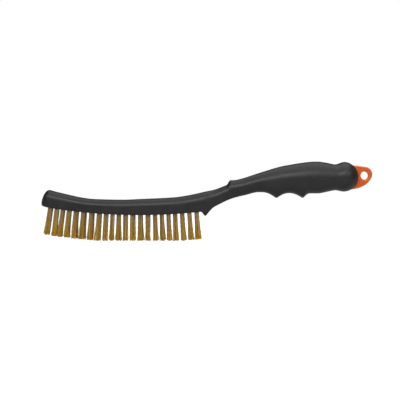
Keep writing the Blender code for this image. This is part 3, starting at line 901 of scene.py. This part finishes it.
# %% Tubes along the lines
def tube_mesh(name, lines, rng):
    """One mesh with a tube of WIRE_SIDES sides around each line, closed at its ends."""
    count, long = lines.shape[:2]
    ahead = np.gradient(lines, axis=1)
    ahead /= np.linalg.norm(ahead, axis=2, keepdims=True)
    side = np.cross(ahead, (0.0, 1.0, 0.0))
    side += (np.linalg.norm(side, axis=2, keepdims=True) < 0.3) * (1.0, 0.0, 0.0)
    side -= (side * ahead).sum(2, keepdims=True) * ahead
    side /= np.linalg.norm(side, axis=2, keepdims=True)
    other = np.cross(ahead, side)
    turns = np.arange(WIRE_SIDES) * 2 * math.pi / WIRE_SIDES
    around = side[:, :, None] * np.cos(turns)[:, None] + other[:, :, None] * np.sin(turns)[:, None]
    points = lines[:, :, None] + WIRE_RADIUS * around
    ring = np.arange(WIRE_SIDES)
    base = (np.arange(count * long).reshape(count, long) * WIRE_SIDES)[:, :-1, None]
    quads = np.stack([base + ring, base + np.roll(ring, -1)], -1)
    quads = np.concatenate([quads, quads[..., ::-1] + WIRE_SIDES], -1).reshape(-1, 4)
    starts = np.arange(count) * long * WIRE_SIDES
    caps = [list(s + ring[::-1]) for s in starts]
    caps += [list(s + (long - 1) * WIRE_SIDES + ring) for s in starts]
    mesh = bpy.data.meshes.new(name)
    mesh.from_pydata(points.reshape(-1, 3).tolist(), [], quads.tolist() + caps)
    along = np.repeat(np.clip(-lines[:, :, 2] / TRIM, 0, 1).ravel(), WIRE_SIDES)
    tone = np.repeat(rng.beta(1.1, 1.1, count), long * WIRE_SIDES)
    for label, values in (("along", along), ("tone", tone)):
        mesh.attributes.new(label, "FLOAT", "POINT").data.foreach_set("value", values)
    return mesh


def make_wires(node, matrix, seed):
    rng = np.random.default_rng(seed)
    name = "wires_" + node.removeprefix("tuft_")
    room = (matrix @ Vector((0, 0, -TRIM))).z - TABLE_GAP
    piece = bpy.data.objects.new(name, tube_mesh(name, wire_lines(rng, room), rng))
    piece.matrix_world = matrix
    bpy.context.scene.collection.objects.link(piece)
    return piece


wires = [make_wires(n, m, 100 + k) for k, (n, m) in enumerate(tuft_frames.items())]
for piece, node in zip(wires, tuft_frames):
    finish_piece(piece, BRASS, [node], sharp=60)
print(len(wires), "tufts,", sum(len(p.data.polygons) for p in wires), "faces")

# %% [markdown]
# ## Floor and light
#
# The brush stands on a white table in a bright room. A wide softbox above lights the top and
# the wires, a low strip light in front draws the long band along the shoulder, and a panel at
# the side lifts the eye. The room adds an even, weaker light. The table gives off light of its
# own, so that it stays white and only the contact shadow shows. The table and the room look
# brighter to the camera than the light they throw, which keeps the black plastic dark.


# %% The floor
TABLE_THROWN, TABLE_SEEN = 0.08, 0.93
ROOM_THROWN, ROOM_SEEN = 0.14, 1.0
FLOOR_REACH, FLOOR_LEVEL = 6, -0.0002


def brightness(tree, thrown, seen):
    """One strength for what the camera sees, and another for the light that is thrown."""
    path = tree.nodes.new("ShaderNodeLightPath")
    strength = tree.nodes.new("ShaderNodeMapRange")
    strength.inputs["To Min"].default_value = thrown
    strength.inputs["To Max"].default_value = seen
    tree.links.new(path.outputs["Is Camera Ray"], strength.inputs["Value"])
    return strength.outputs["Result"]


def white_table():
    material = bpy.data.materials.new("white_table")
    material.use_nodes = True
    shader = material.node_tree.nodes["Principled BSDF"]
    shader.inputs["Base Color"].default_value = (0.55, 0.55, 0.55, 1)
    shader.inputs["Roughness"].default_value = 0.9
    shader.inputs["Emission Color"].default_value = (1, 1, 1, 1)
    glow = brightness(material.node_tree, TABLE_THROWN, TABLE_SEEN)
    material.node_tree.links.new(glow, shader.inputs["Emission Strength"])
    return material


floor_mesh = bpy.data.meshes.new("floor")
corners = [(x * FLOOR_REACH, y * FLOOR_REACH) for x, y in ((-1, -1), (1, -1), (1, 1), (-1, 1))]
floor_mesh.from_pydata([(x, y, FLOOR_LEVEL) for x, y in corners], [], [(0, 1, 2, 3)])
floor = bpy.data.objects.new("floor", floor_mesh)
floor.data.materials.append(white_table())
bpy.context.scene.collection.objects.link(floor)
floor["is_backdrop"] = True
print("the floor is 0.2 mm under the wire tips")


# %% The room and the lights
def add_light(name, place, target, size, power):
    lamp = bpy.data.lights.new(name, "AREA")
    lamp.shape = "RECTANGLE"
    lamp.size, lamp.size_y = size
    lamp.energy = power
    thing = bpy.data.objects.new(name, lamp)
    thing.location = place
    away = Vector(target) - Vector(place)
    thing.rotation_euler = away.to_track_quat("-Z", "Y").to_euler()
    bpy.context.scene.collection.objects.link(thing)


world = bpy.data.worlds.new("room")
world.use_nodes = True
bpy.context.scene.world = world
room = world.node_tree
backdrop = room.nodes["Background"]
backdrop.inputs["Color"].default_value = (1, 1, 1, 1)
room.links.new(brightness(room, ROOM_THROWN, ROOM_SEEN), backdrop.inputs["Strength"])
add_light("overhead softbox", (0.2, -0.1, 0.9), (0.2, -0.1, 0.0), (1.0, 1.2), 4.6)
add_light("strip light", (-0.32, -0.87, 0.54), (-0.32, 0.0, 0.04), (1.0, 0.20), 3.9)
add_light("side panel", (0.55, -0.8, 0.5), (0.25, 0.0, 0.04), (0.6, 0.6), 1.7)
print("a softbox above, a strip light, a side panel and an even room")

# %% [markdown]
# ## Check and hand over
#
# The looks must not change the object's size, so its box and the exact model's are printed
# before the script ends.

# %% Print the sizes
low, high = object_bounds()
sizes = {"cad": [list(cad_low), list(cad_high)], "visual": [list(low), list(high)]}
for label, (a, b) in sizes.items():
    print(label, [round((q - p) * 1000, 2) for p, q in zip(a, b)], "mm")
